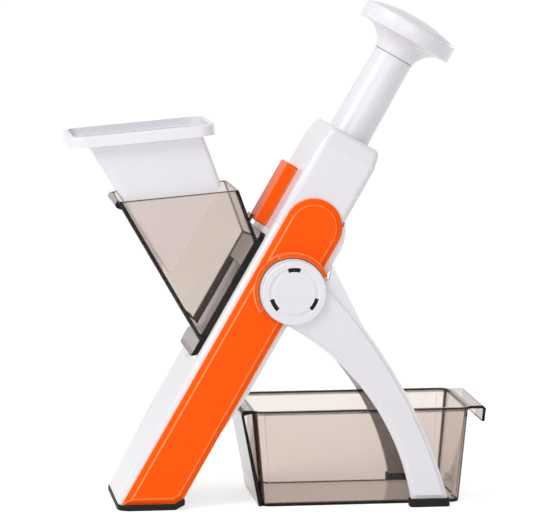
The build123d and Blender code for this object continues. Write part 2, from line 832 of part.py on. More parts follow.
# Blade carriage: a plate and a set-back landing deck between two cheeks, hung from a bridge on the rods
plate_v = inner_front_v - carriage_gap
plate_low_u = blade_edge_u + blade_overhang
deck_low_u = window_low_u - deck_lap
deck_high_u = blade_edge_u - slice_slot
deck_v = plate_v - deck_drop
cheek_low_v = plate_v - cheek_depth
cheek_y = carriage_half_width - cheek_thickness / 2
bridge_low_u = carriage_top_u - bridge_height
bridge_rear_v = shaft_v - shaft_diameter / 2
with BuildPart() as blade_carriage:
    with BuildSketch(cross_plane(plate_low_u)):
        with Locations((0, plate_v - carriage_plate / 2)):
            Rectangle(2 * carriage_half_width, carriage_plate)
    extrude(amount=carriage_top_u - plate_low_u)
    with BuildSketch(cross_plane(deck_low_u)):
        with Locations((0, deck_v - deck_thickness / 2)):
            Rectangle(2 * carriage_half_width, deck_thickness)
    extrude(amount=deck_high_u - deck_low_u)
    with BuildSketch(cross_plane(deck_low_u)):
        for side in (-1, 1):
            with Locations((side * cheek_y, plate_v - cheek_depth / 2)):
                Rectangle(cheek_thickness, cheek_depth)
    extrude(amount=carriage_top_u - deck_low_u)
    with BuildSketch(cross_plane(bridge_low_u)):
        with Locations((0, (plate_v + bridge_rear_v) / 2)):
            Rectangle(shaft_diameter + 2 * shaft_boss_wall, plate_v - bridge_rear_v)
    extrude(amount=bridge_height)
    with BuildSketch(cross_plane(lug_low_u)):
        with Locations((0, (cheek_low_v + rod_v - rod_seat_width / 2) / 2)):
            Rectangle(2 * carriage_half_width, cheek_low_v - rod_v + rod_seat_width / 2)
    extrude(amount=lug_length)
    with BuildSketch(cross_plane(lug_low_u)):
        with Locations(*rod_places):
            Circle(rod_diameter / 2 + rod_fit)
    extrude(amount=lug_length, mode=Mode.SUBTRACT)
    with BuildSketch(cross_plane(bridge_low_u, shaft_v)):
        Circle(handle_screw_diameter / 2 + screw_fit)
    extrude(amount=bridge_height, mode=Mode.SUBTRACT)
    with BuildSketch(face_plane(plate_v)):
        with Locations((0, blade_edge_u + blade_height / 2)):
            Rectangle(blade_width, blade_height)
    extrude(amount=-blade_thickness, mode=Mode.SUBTRACT)
    with BuildSketch(face_plane(plate_v)):
        for side in (-1, 1):
            with Locations((side * blade_screw_y, blade_edge_u + blade_height / 2)):
                Circle(blade_screw_diameter / 2 + screw_fit)
    extrude(amount=-carriage_plate - overrun, mode=Mode.SUBTRACT)
finish(blade_carriage, "blade_carriage")

# Slicing blade: a ground steel strip let into the carriage's plate
blade_rear_v = plate_v - blade_thickness
blade_points = [
    (blade_edge_u, plate_v),
    (blade_edge_u + blade_height, plate_v),
    (blade_edge_u + blade_height, blade_rear_v),
    (blade_edge_u + blade_bevel, blade_rear_v),
]
with BuildPart() as slicing_blade:
    with BuildSketch(side_plane(0)):
        Polygon(*blade_points, align=None)
    extrude(amount=blade_width / 2, both=True)
    with BuildSketch(face_plane(plate_v)):
        for side in (-1, 1):
            with Locations((side * blade_screw_y, blade_edge_u + blade_height / 2)):
                Circle(blade_screw_diameter / 2 + screw_fit)
    extrude(amount=-blade_thickness, mode=Mode.SUBTRACT)
finish(slicing_blade, "slicing_blade")

# Screws that hold the blade from behind the plate
with BuildPart() as blade_screws:
    with BuildSketch(face_plane(plate_v - carriage_plate)):
        for side in (-1, 1):
            with Locations((side * blade_screw_y, blade_edge_u + blade_height / 2)):
                Circle(blade_screw_head / 2)
    extrude(amount=-blade_screw_head_height)
    with BuildSketch(face_plane(plate_v - carriage_plate)):
        for side in (-1, 1):
            with Locations((side * blade_screw_y, blade_edge_u + blade_height / 2)):
                Circle(blade_screw_diameter / 2)
    extrude(amount=carriage_plate)
finish(blade_screws, "blade_screws")

# Julienne blades: upright fins on the landing deck, just ahead of the slicing edge
fin_start = -(julienne_count - 1) / 2 * julienne_pitch
with BuildPart() as julienne_blades:
    with BuildSketch(face_plane(deck_v)):
        for fin in range(julienne_count):
            with Locations((fin_start + fin * julienne_pitch, deck_high_u - julienne_length / 2)):
                Rectangle(julienne_thickness, julienne_length)
    extrude(amount=julienne_rise)
finish(julienne_blades, "julienne_blades")

# Handle shaft: a moulded tube from the carriage's bridge to the knob, tapered above the tower
with BuildPart() as handle_shaft:
    with BuildSketch(cross_plane(carriage_top_u, shaft_v)):
        Circle(shaft_diameter / 2)
    extrude(amount=tower_top_u - carriage_top_u)
    with BuildSketch(cross_plane(tower_top_u, shaft_v)):
        Circle(shaft_diameter / 2)
    with BuildSketch(cross_plane(seam_shaft_u, shaft_v)):
        Circle(shaft_top_diameter / 2)
    loft()
    with BuildSketch(cross_plane(carriage_top_u + handle_screw_length, shaft_v)):
        Circle(shaft_diameter / 2 - shaft_wall)
    extrude(amount=seam_shaft_u - carriage_top_u, mode=Mode.SUBTRACT)
    with BuildSketch(cross_plane(carriage_top_u, shaft_v)):
        Circle(handle_screw_diameter / 2 + screw_fit)
    extrude(amount=handle_screw_length, mode=Mode.SUBTRACT)
finish(handle_shaft, "handle_shaft")

# Screw that holds the shaft on the bridge
with BuildPart() as handle_screw:
    with BuildSketch(cross_plane(bridge_low_u, shaft_v)):
        Circle(handle_screw_head / 2)
    extrude(amount=-handle_screw_head_height)
    with BuildSketch(cross_plane(bridge_low_u, shaft_v)):
        Circle(handle_screw_diameter / 2)
    extrude(amount=bridge_height + handle_screw_length / 2)
finish(handle_screw, "handle_screw")

# Knob: a turned mushroom with a hollow flare under its rim and a spigot in the shaft
knob_plane = Plane(origin=spot(seam_shaft_u, shaft_v), x_dir=up_axis, z_dir=(0, -1, 0))
knob_axis = Axis(spot(seam_shaft_u, shaft_v), up_axis)
neck_radius = shaft_top_diameter / 2
knob_radius = knob_diameter / 2
rim_u = neck_height + knob_rim
neck_middle = (
    neck_height * (1 - neck_waist_share),
    neck_radius + (knob_radius - neck_radius) * neck_waist_share,
)
spigot_radius = shaft_diameter / 2 - shaft_wall - spigot_fit
edge_slip = knob_edge * knob_edge_share
with BuildPart() as handle_knob:
    with BuildSketch(knob_plane) as knob_half:
        with BuildLine():
            Polyline((rim_u + knob_dome, 0), (-knob_spigot, 0), (-knob_spigot, spigot_radius))
            Polyline((-knob_spigot, spigot_radius), (0, spigot_radius), (0, neck_radius))
            ThreePointArc((0, neck_radius), neck_middle, (neck_height, knob_radius))
            Line((neck_height, knob_radius), (rim_u - knob_edge, knob_radius))
            ThreePointArc(
                (rim_u - knob_edge, knob_radius),
                (rim_u - edge_slip, knob_radius - edge_slip),
                (rim_u, knob_radius - knob_edge),
            )
            Spline(
                (rim_u, knob_radius - knob_edge),
                (rim_u + knob_dome, 0),
                tangents=((knob_dome_lean, -1), (0, -1)),
            )
        make_face()
    revolve(axis=knob_axis)
finish(handle_knob, "handle_knob")

# Hopper: a clear chute with a lipped mouth, on a thick flange with a hinge bead below and a tab above
slant = math.radians(chute_angle)
rear_slant = math.radians(rear_chute_angle)
flange_v = front_v + seat_gap
flange_out_v = flange_v + flange


def chute_front(v, inset=0):
    """Point of the chute's front wall at v, moved in by an inset along the tower."""
    return (chute_low_u + inset + (v - flange_v) / math.tan(slant), v)


def chute_rear(v, inset=0):
    """Point of the chute's rear wall at v, moved in by an inset along the tower."""
    return (chute_high_u - inset + (v - flange_v) / math.tan(rear_slant), v)


wall_run = hopper_wall / math.sin(slant)
rear_run = hopper_wall / math.sin(rear_slant)
chute_outer = [
    chute_front(flange_v),
    chute_rear(flange_v),
    chute_rear(hopper_rear_v),
    chute_front(hopper_front_v),
]
rim_low = chute_front(hopper_front_v + overrun, wall_run)
rim_high = chute_rear(hopper_rear_v + overrun, rear_run)
chute_inner = [
    chute_front(flange_out_v, wall_run),
    chute_rear(flange_out_v, rear_run),
    rim_high,
    (rim_high[0] + overrun, rim_high[1] + overrun),
    (rim_low[0] + overrun, rim_low[1] + overrun),
    rim_low,
]
mouth_points = [
    chute_front(hopper_front_v, wall_run / 2),
    chute_front(hopper_front_v, -mouth_lip),
    chute_front(hopper_front_v - mouth_lip_edge, -mouth_lip),
    chute_front(hopper_front_v - mouth_lip_drop, wall_run / 2),
]
relief_points = [
    (flange_low_u, flange_v),
    (flange_low_u + hinge_relief_length, flange_v),
    (flange_low_u, flange_v + hinge_relief_height),
]
tab_low_v = flange_v + latch_thickness + tab_gap
tab_high_v = tab_low_v + tab_thickness
tab_points = [
    chute_rear(tab_low_v, hopper_wall / 2),
    (latch_low_u + tab_lap, tab_low_v),
    (latch_low_u + tab_lap, tab_high_v),
    chute_rear(tab_high_v, hopper_wall / 2),
]
hopper_half = hopper_width / 2
with BuildPart() as hopper:
    with BuildSketch(side_plane(0)):
        Polygon(*chute_outer, align=None)
    extrude(amount=hopper_half, both=True)
    fillet(hopper.faces().sort_by(Axis.X)[0].edges().filter_by(Axis.Y, reverse=True), hopper_round)
    with BuildSketch(face_plane(flange_v)):
        with Locations((0, (flange_low_u + flange_high_u) / 2)):
            RectangleRounded(flange_width, flange_high_u - flange_low_u, flange_corner)
    extrude(amount=flange)
    with BuildSketch(side_plane(0)):
        Polygon(*relief_points, align=None)
    extrude(amount=flange_width / 2, both=True, mode=Mode.SUBTRACT)
    with BuildSketch(side_plane(0)):
        Polygon(*chute_inner, align=None)
    extrude(amount=hopper_half - hopper_wall, both=True, mode=Mode.SUBTRACT)
    with BuildSketch(face_plane(flange_v - overrun)):
        with Locations((0, window_mid_u)):
            Rectangle(window_width, window_height)
    extrude(amount=flange + 2 * overrun, mode=Mode.SUBTRACT)
    with BuildSketch(side_plane(0)):
        Polygon(*mouth_points, align=None)
    extrude(amount=hopper_half - hopper_round, both=True)
    with BuildSketch(side_plane(0)):
        Polygon(*tab_points, align=None)
    extrude(amount=tab_width / 2, both=True)
    with BuildSketch(side_plane(0)):
        with Locations((bead_u, bead_v)):
            Circle(bead_diameter / 2)
        with Locations((bead_u, (bead_v + flange_out_v) / 2)):
            Rectangle(bead_neck, flange_out_v - bead_v)
    extrude(amount=bead_length / 2, both=True)
finish(hopper, "hopper")

# Pusher: a hollow white plunger, drafted all round, with a broad open rim and studs under its slanted floor
chute_axis = up_axis * math.cos(slant) + out_axis * math.sin(slant)
chute_foot = spot(*chute_front(flange_v))
chute_span = chute_high_u - chute_low_u
chute_flare = math.tan(slant - rear_slant)
rear_wall_depth = hopper_wall / math.cos(slant - rear_slant)
draft = math.tan(math.radians(pusher_draft))
mouth_run = (hopper_front_v - flange_v) / math.sin(slant)
shank_length = 2 * hopper_front_v
rim_front = spot(*chute_front(hopper_front_v))
rim_back = spot(*chute_rear(hopper_rear_v))
rim_axis = (rim_back - rim_front).normalized()
rim_center = (rim_front + rim_back) / 2 + chute_axis * (pusher_lift + seat_gap)
rim_plane = Plane(origin=rim_center, x_dir=rim_axis, z_dir=rim_axis.cross(Vector(0, 1, 0)))
floor_plane = face_plane(pusher_floor_v)
inner_floor_plane = face_plane(pusher_floor_v + pusher_floor)
stud_mid_u = (chute_front(pusher_floor_v)[0] + chute_rear(pusher_floor_v)[0]) / 2


def shank_plane(run):
    """Plane square to the chute at a run up from its foot, with sketches in (y, forward)."""
    return Plane(origin=chute_foot + chute_axis * run, x_dir=(0, 1, 0), z_dir=chute_axis)


def shank(run, inset):
    """Section of the pusher's shank at a run up the chute, drawn in by an inset."""
    drawn = (mouth_run - run) * draft + inset
    depth = chute_span * math.sin(slant) + (run - chute_span * math.cos(slant)) * chute_flare
    front = hopper_wall + pusher_front_gap + drawn
    rear = depth - rear_wall_depth - pusher_rear_gap - inset
    width = hopper_width - 2 * (hopper_wall + pusher_side_gap + drawn)
    with Locations((0, -(front + rear) / 2)):
        RectangleRounded(width, rear - front, pusher_corner - inset)


with BuildPart() as pusher_core:
    with BuildSketch(shank_plane(0)):
        shank(0, pusher_wall)
    with BuildSketch(shank_plane(shank_length)):
        shank(shank_length, pusher_wall)
    loft()
    split(bisect_by=inner_floor_plane, keep=Keep.TOP)
with BuildPart() as pusher:
    with BuildSketch(shank_plane(0)):
        shank(0, 0)
    with BuildSketch(shank_plane(shank_length)):
        shank(shank_length, 0)
    loft()
    split(bisect_by=floor_plane, keep=Keep.TOP)
    split(bisect_by=rim_plane, keep=Keep.BOTTOM)
    with BuildSketch(rim_plane):
        with Locations((-rim_shift, 0)):
            RectangleRounded(rim_length, rim_width, rim_corner)
    extrude(amount=rim_height)
    fillet(pusher.faces().sort_by(Axis(rim_center, rim_plane.z_dir))[-1].edges(), rim_round)
    with BuildSketch(rim_plane.offset(rim_web)):
        with Locations((-rim_shift, 0)):
            RectangleRounded(rim_length - 2 * rim_band, rim_width - 2 * rim_band, rim_corner - rim_band)
    extrude(amount=rim_height, mode=Mode.SUBTRACT)
    add(pusher_core.part, mode=Mode.SUBTRACT)
    with BuildSketch(floor_plane):
        with Locations((0, stud_mid_u)):
            with GridLocations(stud_pitch, stud_pitch, stud_columns, stud_rows):
                Circle(stud_diameter / 2)
    extrude(amount=-stud_height, taper=stud_taper)
finish(pusher, "pusher")

# Hopper latch: a hollow block that rides on the tower's rail, with its spring below the rail
latch_v = front_v + seat_gap
latch_mid_u = latch_low_u + latch_length / 2
groove_low_u = latch_low_u + latch_floor
groove_high_u = rail_high_u + slide_gap
groove_mid_u = (groove_low_u + groove_high_u) / 2
groove_length = groove_high_u - groove_low_u
head_low_v = front_v + rail_stem_height - slide_gap
head_high_v = front_v + rail_stem_height + rail_head_height + slide_gap
with BuildPart() as latch:
    with BuildSketch(face_plane(latch_v)):
        with Locations((0, latch_mid_u)):
            RectangleRounded(latch_width, latch_length, latch_round)
    extrude(amount=latch_thickness)
    fillet(latch.faces().sort_by(front_line)[-1].edges(), latch_round / 2)
    with BuildSketch(face_plane(latch_v - overrun)):
        with Locations((0, groove_mid_u)):
            Rectangle(rail_stem + 2 * slide_gap, groove_length)
    extrude(amount=head_low_v - latch_v + overrun, mode=Mode.SUBTRACT)
    with BuildSketch(face_plane(head_low_v)):
        with Locations((0, groove_mid_u)):
            Rectangle(rail_head + 2 * slide_gap, groove_length)
    extrude(amount=head_high_v - head_low_v, mode=Mode.SUBTRACT)
    with BuildSketch(face_plane(latch_v + latch_thickness)):
        with Locations((0, latch_low_u + latch_length * latch_slot_share)):
            Rectangle(latch_slot_width, latch_slot_length)
    extrude(amount=-latch_slot_depth, mode=Mode.SUBTRACT)
finish(latch, "latch")

# Latch spring, between the latch's floor and the foot of the rail
latch_spring_v = front_v + rail_stem_height
with BuildPart() as latch_spring:
    with BuildSketch(cross_plane(groove_low_u + seat_gap, latch_spring_v)):
        Circle(latch_spring_diameter / 2)
        Circle(latch_spring_diameter / 2 - spring_wire, mode=Mode.SUBTRACT)
    extrude(amount=rail_low_u - groove_low_u - 2 * seat_gap)
finish(latch_spring, "latch_spring")

# Tray: a drafted clear box with a rim, a fold-over handle behind and a sloping skirt in front
tray_mid_x = tray_rim_x + tray_length / 2
tray_floor_length = tray_length - 2 * tray_draft_x
tray_floor_width = tray_width - 2 * tray_draft_y
handle_x = tray_rim_x + tray_length
handle_end_x = handle_x + tray_handle_reach
skirt_x = tray_rim_x - tray_skirt_reach
skirt_foot_x = tray_rim_x + tray_draft_x
tray_web_x = tray_rim_x + tray_wall / 2
skirt_points = [
    (tray_web_x, tray_height),
    (skirt_x + tray_skirt_wall, tray_height),
    (skirt_x, tray_height - tray_skirt_wall),
    (skirt_x, tray_height - 2 * tray_skirt_wall),
    (skirt_foot_x - tray_skirt_wall, 0),
    (skirt_foot_x + tray_wall / 2, 0),
    (skirt_foot_x, tray_skirt_foot),
    (skirt_x + tray_skirt_wall, tray_height - 2 * tray_skirt_wall),
    (tray_web_x, tray_height - tray_skirt_wall),
]
handle_points = [
    (handle_x - tray_wall / 2, tray_height),
    (handle_end_x - tray_handle_wall, tray_height),
    (handle_end_x, tray_height - tray_handle_wall),
    (handle_end_x - tray_handle_lean, tray_height - tray_handle_drop),
    (handle_end_x - tray_handle_lean - tray_handle_wall, tray_height - tray_handle_drop),
    (handle_end_x - tray_handle_wall, tray_height - tray_handle_wall),
    (handle_x - tray_wall / 2, tray_height - tray_handle_wall),
]
with BuildPart() as tray:
    with BuildSketch():
        with Locations((tray_mid_x, 0)):
            RectangleRounded(tray_floor_length, tray_floor_width, tray_corner - tray_wall)
    with BuildSketch(Plane.XY.offset(tray_height)):
        with Locations((tray_mid_x, 0)):
            RectangleRounded(tray_length, tray_width, tray_corner)
    loft()
    with BuildSketch(Plane.XY.offset(tray_height)):
        with Locations((tray_mid_x, 0)):
            RectangleRounded(
                tray_length + 2 * tray_rim_lip,
                tray_width + 2 * tray_rim_lip,
                tray_corner + tray_rim_lip,
            )
    extrude(amount=-tray_rim_height)
    with BuildSketch(Plane.XZ):
        Polygon(*skirt_points, align=None)
        Polygon(*handle_points, align=None)
    extrude(amount=tray_floor_width / 2 - tray_edge_inset, both=True)
    with BuildSketch(Plane.XY.offset(tray_wall)):
        with Locations((tray_mid_x, 0)):
            RectangleRounded(
                tray_floor_length - 2 * tray_wall,
                tray_floor_width - 2 * tray_wall,
                tray_corner - 2 * tray_wall,
            )
    with BuildSketch(Plane.XY.offset(tray_height)):
        with Locations((tray_mid_x, 0)):
            RectangleRounded(
                tray_length - 2 * tray_wall,
                tray_width - 2 * tray_wall,
                tray_corner - tray_wall,
            )
    loft(mode=Mode.SUBTRACT)
finish(tray, "tray")
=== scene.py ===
import math

import bmesh
import bpy
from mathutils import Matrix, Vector


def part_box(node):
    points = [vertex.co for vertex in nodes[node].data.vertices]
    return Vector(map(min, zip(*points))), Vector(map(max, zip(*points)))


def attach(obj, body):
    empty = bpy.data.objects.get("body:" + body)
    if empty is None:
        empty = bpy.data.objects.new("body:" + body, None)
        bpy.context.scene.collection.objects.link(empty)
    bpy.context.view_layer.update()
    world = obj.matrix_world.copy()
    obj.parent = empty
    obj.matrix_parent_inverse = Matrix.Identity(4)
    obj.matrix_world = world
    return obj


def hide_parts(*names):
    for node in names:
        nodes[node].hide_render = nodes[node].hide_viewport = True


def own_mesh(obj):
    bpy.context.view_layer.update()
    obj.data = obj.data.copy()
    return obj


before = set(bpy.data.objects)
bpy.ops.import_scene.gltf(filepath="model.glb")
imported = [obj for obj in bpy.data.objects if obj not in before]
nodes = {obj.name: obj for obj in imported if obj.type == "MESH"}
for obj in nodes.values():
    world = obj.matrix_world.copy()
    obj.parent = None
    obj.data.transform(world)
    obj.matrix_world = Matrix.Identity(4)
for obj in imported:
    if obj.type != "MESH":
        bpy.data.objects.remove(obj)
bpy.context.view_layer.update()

scene = bpy.context.scene

# Tower: a lower housing and an upper cover, two thin injection mouldings pushed together at a hairline seam.
# Both are white ABS out of a polished mould, with edges that are a little round.
# The leaning front faces the light and is the whitest face of the slicer.


def linear(code):
    """Linear colour of an sRGB hex value."""
    parts = [int(code[place:place + 2], 16) / 255 for place in (1, 3, 5)]
    return [c / 12.92 if c <= 0.04045 else ((c + 0.055) / 1.055) ** 2.4 for c in parts] + [1.0]


def add_node(tree, kind, settings=None, inputs=None):
    """One node with its settings, and its inputs set to values or linked from other sockets."""
    made = tree.nodes.new(kind)
    for name, value in (settings or {}).items():
        setattr(made, name, value)
    for name, value in (inputs or {}).items():
        if isinstance(value, bpy.types.NodeSocket):
            tree.links.new(value, made.inputs[name])
        else:
            made.inputs[name].default_value = value
    return made


def moulded_plastic(name, deep, pale, edge, edge_mm, roughness, gloss, flow_mm, peel_mm, peel_depth_mm):
    """Moulded plastic or rubber, with faint flow, a painted highlight that pales its edges, uneven polish
    and a slight peel.
    """
    # The painted edge highlight starts at the first of these cosines of an edge's turn, and is full at the
    # second.
    edge_start, edge_full = 0.999, 0.988
    polish_spread = 0.2
    made = bpy.data.materials.new(name)
    made.use_nodes = True
    tree = made.node_tree
    tree.nodes.clear()
    place = add_node(tree, "ShaderNodeTexCoord").outputs["Object"]
    flow = add_node(tree, "ShaderNodeTexNoise", None, {
        "Vector": place, "Scale": 1000 / flow_mm, "Detail": 3.0, "Roughness": 0.5})
    colour = add_node(tree, "ShaderNodeMix", {"data_type": "RGBA"}, {
        "Factor": flow.outputs["Fac"], "A": linear(deep), "B": linear(pale)})
    face = add_node(tree, "ShaderNodeNewGeometry").outputs["Normal"]
    rounded = add_node(tree, "ShaderNodeBevel", {"samples": 6}, {"Radius": edge_mm / 1000})
    turned = add_node(tree, "ShaderNodeVectorMath", {"operation": "DOT_PRODUCT"}, {
        0: face, 1: rounded.outputs["Normal"]})
    painted_edge_highlight = add_node(tree, "ShaderNodeMapRange", None, {
        "Value": turned.outputs["Value"], "From Min": edge_start, "From Max": edge_full})
    tone = add_node(tree, "ShaderNodeMix", {"data_type": "RGBA"}, {
        "Factor": painted_edge_highlight.outputs["Result"], "A": colour.outputs["Result"], "B": linear(edge)})
    polish = add_node(tree, "ShaderNodeMapRange", None, {
        "Value": flow.outputs["Fac"],
        "To Min": roughness * (1 - polish_spread), "To Max": roughness * (1 + polish_spread)})
    peel = add_node(tree, "ShaderNodeTexNoise", None, {
        "Vector": place, "Scale": 1000 / peel_mm, "Detail": 2.0})
    bump = add_node(tree, "ShaderNodeBump", None, {
        "Height": peel.outputs["Fac"], "Strength": 0.25, "Distance": peel_depth_mm / 1000})
    skin = add_node(tree, "ShaderNodeBsdfPrincipled", None, {
        "Base Color": tone.outputs["Result"], "Roughness": polish.outputs["Result"],
        "Normal": bump.outputs["Normal"], "IOR": 1.52, "Specular IOR Level": gloss})
    add_node(tree, "ShaderNodeOutputMaterial", None, {"Surface": skin.outputs["BSDF"]})
    return made


def dress(names, material, edge_mm=0.0):
    """Give CAD nodes a material, and a rounded edge of that width where one is named."""
    weld_reach, sharp_degrees = 0.000005, 40
    for name in names:
        piece = nodes[name]
        piece.data.materials.clear()
        piece.data.materials.append(material)
        if edge_mm:
            weld = piece.modifiers.new("weld", "WELD")
            weld.merge_threshold = weld_reach
            edge = piece.modifiers.new("edge", "BEVEL")
            edge.width = edge_mm / 1000
            edge.segments = 2
            # The mesh has very short edges on its curves, and clamping to those would leave no width.
            edge.use_clamp_overlap = False
            edge.limit_method = "ANGLE"
            edge.angle_limit = math.radians(sharp_degrees)
            edge.harden_normals = True


# White ABS is opaque and cool, with a clear gloss that goes softly wavy over the mould's polish.
# Its edges are a little paler than its faces: a faint painted highlight.
white_abs = moulded_plastic(
    "white_moulded_abs", deep="#DEDCE1", pale="#E5E3E8", edge="#F0EFF2", edge_mm=0.5,
    roughness=0.24, gloss=0.4, flow_mm=60.0, peel_mm=3.0, peel_depth_mm=0.02)
dress(["main_housing"], white_abs, edge_mm=0.3)
dress(["tower_cover"], white_abs, edge_mm=0.5)

# Rear cover: a cranked plate between the housing's walls, which closes the back above the outlet.
# It is moulded in the housing's white ABS, and two steel screws hold it to ledges in the housing.


def drawn_steel(name, deep, pale, roughness, line_mm):
    """Bright steel with fine upright lines."""
    line_stretch, polish_spread = 0.05, 0.3
    made = bpy.data.materials.new(name)
    made.use_nodes = True
    tree = made.node_tree
    tree.nodes.clear()
    place = add_node(tree, "ShaderNodeTexCoord").outputs["Object"]
    along = add_node(tree, "ShaderNodeMapping", None, {"Vector": place, "Scale": (1.0, 1.0, line_stretch)})
    lines = add_node(tree, "ShaderNodeTexNoise", None, {
        "Vector": along.outputs["Vector"], "Scale": 1000 / line_mm, "Detail": 3.0})
    colour = add_node(tree, "ShaderNodeMix", {"data_type": "RGBA"}, {
        "Factor": lines.outputs["Fac"], "A": linear(deep), "B": linear(pale)})
    polish = add_node(tree, "ShaderNodeMapRange", None, {
        "Value": lines.outputs["Fac"],
        "To Min": roughness * (1 - polish_spread), "To Max": roughness * (1 + polish_spread)})
    skin = add_node(tree, "ShaderNodeBsdfPrincipled", None, {
        "Base Color": colour.outputs["Result"], "Metallic": 1.0, "Roughness": polish.outputs["Result"]})
    add_node(tree, "ShaderNodeOutputMaterial", None, {"Surface": skin.outputs["BSDF"]})
    return made


# Zinc-bright drawn steel is a grey-white metal, with fine die lines that soften its reflections.
# The lines are drawn coarser than they are, so that they show.
bright_steel = drawn_steel(
    "bright_drawn_steel", deep="#A8A8AC", pale="#D4D4D8", roughness=0.28, line_mm=0.5)
dress(["rear_cover"], white_abs, edge_mm=0.5)

# The screws are pan heads, cold-formed with a cross recess, and stand on the plate's back.
tower_lean = math.radians(60.0)
tower_up = Vector((math.cos(tower_lean), 0, math.sin(tower_lean)))
tower_back = Vector((math.sin(tower_lean), 0, -math.cos(tower_lean)))
head_radius, head_height, thread_radius, thread_length = 0.00325, 0.0018, 0.00175, 0.009
screw_profile = [
    (0, -thread_length), (thread_radius * 0.5, -thread_length), (thread_radius, -thread_length * 0.85),
    (thread_radius, 0), (head_radius, 0), (head_radius, head_height * 0.4),
    (head_radius * 0.94, head_height * 0.68), (head_radius * 0.78, head_height * 0.88),
    (head_radius * 0.5, head_height), (0, head_height)]
screw_sides, join_reach = 40, 0.000001
turned = bmesh.new()
rim = [turned.verts.new((radius, 0, rise)) for radius, rise in screw_profile]
sides = [turned.edges.new(pair) for pair in zip(rim, rim[1:])]
bmesh.ops.spin(
    turned, geom=rim + sides, axis=(0, 0, 1), cent=(0, 0, 0), angle=math.tau, steps=screw_sides)
bmesh.ops.remove_doubles(turned, verts=turned.verts, dist=join_reach)
bmesh.ops.recalc_face_normals(turned, faces=turned.faces)
screw_mesh = bpy.data.meshes.new("screw_blank")
turned.to_mesh(screw_mesh)
turned.free()
blank = bpy.data.objects.new("screw_blank", screw_mesh)
scene.collection.objects.link(blank)
arm_reach, arm_half_width, arm_depth, arm_foot_share = 0.0022, 0.00062, 0.0011, 0.45
recess = bmesh.new()
for half_x, half_y in ((arm_reach, arm_half_width), (arm_half_width, arm_reach)):
    arm = bmesh.ops.create_cube(recess, size=2.0)["verts"]
    for point in arm:
        taper = 1.0 if point.co.z > 0 else arm_foot_share
        point.co = Vector((point.co.x * half_x * taper, point.co.y * half_y * taper,
                           head_height + point.co.z * arm_depth))
recess_mesh = bpy.data.meshes.new("screw_recess")
recess.to_mesh(recess_mesh)
recess.free()
punch = bpy.data.objects.new("screw_recess", recess_mesh)
scene.collection.objects.link(punch)
cut = blank.modifiers.new("recess", "BOOLEAN")
cut.object = punch
cut.operation = "DIFFERENCE"
cut.solver = "EXACT"
cut.use_self = True
bpy.context.view_layer.update()
formed = bpy.data.meshes.new_from_object(blank.evaluated_get(bpy.context.evaluated_depsgraph_get()))
bpy.data.objects.remove(blank)
bpy.data.objects.remove(punch)
screw_turn = tower_back.to_track_quat("Z", "Y").to_matrix().to_4x4()
screw_low, screw_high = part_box("rear_cover_screws")
screw_points = [point.co for point in nodes["rear_cover_screws"].data.vertices]
screw_seat = max(point.dot(tower_back) for point in screw_points) - head_height
screw_level = max(point.dot(tower_up) for point in screw_points) - head_radius
screws = bmesh.new()
for side_y in (screw_low[1] + head_radius, screw_high[1] - head_radius):
    made_before = len(screws.verts)
    screws.from_mesh(formed)
    screws.verts.ensure_lookup_table()
    screw = screws.verts[made_before:]
    seat = tower_up * screw_level + tower_back * screw_seat + Vector((0, side_y, 0))
    bmesh.ops.transform(screws, matrix=screw_turn, verts=screw)
    bmesh.ops.translate(screws, vec=seat, verts=screw)
screws_mesh = bpy.data.meshes.new("cross_head_screws")
screws.to_mesh(screws_mesh)
screws.free()
screws_mesh.materials.append(bright_steel)
cross_head_screws = bpy.data.objects.new("cross_head_screws", screws_mesh)
scene.collection.objects.link(cross_head_screws)
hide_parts("rear_cover_screws")
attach(cross_head_screws, "body")

# Foot: a moulded black rubber band under the tower's base, turned up at its heel.
# It keeps the slicer from sliding on the worktop.

# Moulded rubber is nearly black and matt, with paler patches at random and a painted highlight that pales
# its edges.
# Its fine grain is drawn coarser than it is, so that it shows.
black_rubber = moulded_plastic(
    "black_moulded_rubber", deep="#0B0B0C", pale="#161618", edge="#262628", edge_mm=0.4,
    roughness=0.6, gloss=0.2, flow_mm=12.0, peel_mm=0.8, peel_depth_mm=0.06)
dress(["body_foot"], black_rubber, edge_mm=0.6)

# Side panels: orange ABS mouldings on the housing's sides, each with a leg's pivot stub through it.
# The wide bevel round each one and the lip beside the leg's hub are part of the moulding.

# Orange ABS is strongly dyed, with a satin gloss, and the thin pale lines on its edges are a painted
# highlight.
orange_abs = moulded_plastic(
    "orange_moulded_abs", deep="#FC5600", pale="#FF5C00", edge="#FFB27A", edge_mm=0.7,
    roughness=0.32, gloss=0.08, flow_mm=60.0, peel_mm=2.5, peel_depth_mm=0.02)
dress(["side_panel_right", "side_panel_left"], orange_abs, edge_mm=0.2)

# Leg pivots: nylon stubs through the housing's sides, with washers that the legs turn against.
# A pressed steel retainer and a screw hold each leg on its stub, under the cap.

# Grey nylon is left matt from the mould, with a soft waxy sheen.
# Its fine grain is drawn coarser than it is, so that it shows.
# Its edges are a little paler than its faces: a painted highlight.
grey_nylon = moulded_plastic(
    "grey_moulded_nylon", deep="#6E6E72", pale="#7C7C80", edge="#8E8E92", edge_mm=0.4,
    roughness=0.5, gloss=0.4, flow_mm=20.0, peel_mm=1.0, peel_depth_mm=0.03)
dress(["pivot_stub_right", "pivot_stub_left", "pivot_washer_right", "pivot_washer_left"], grey_nylon)
dress(["pivot_retainer_right", "pivot_retainer_left", "pivot_screw_right", "pivot_screw_left"], bright_steel)

# Legs: arched white ABS mouldings with a raised outer face and a ribbed, hollow inside.
# Each has a round cap over its pivot, with a black ring under the cap that shows in its three slots and
# stands in for the shade in them, and a rubber shoe pushed on over a peg at its lower end.
dress(["leg_right", "leg_left"], white_abs, edge_mm=0.5)
dress(["hub_cap_right", "hub_cap_left"], white_abs)
# Painted shade: the black ring gives the cap's open slots their dark.
dress(["hub_ring_right", "hub_ring_left"], black_rubber)
dress(["leg_shoe_right", "leg_shoe_left"], black_rubber, edge_mm=0.3)

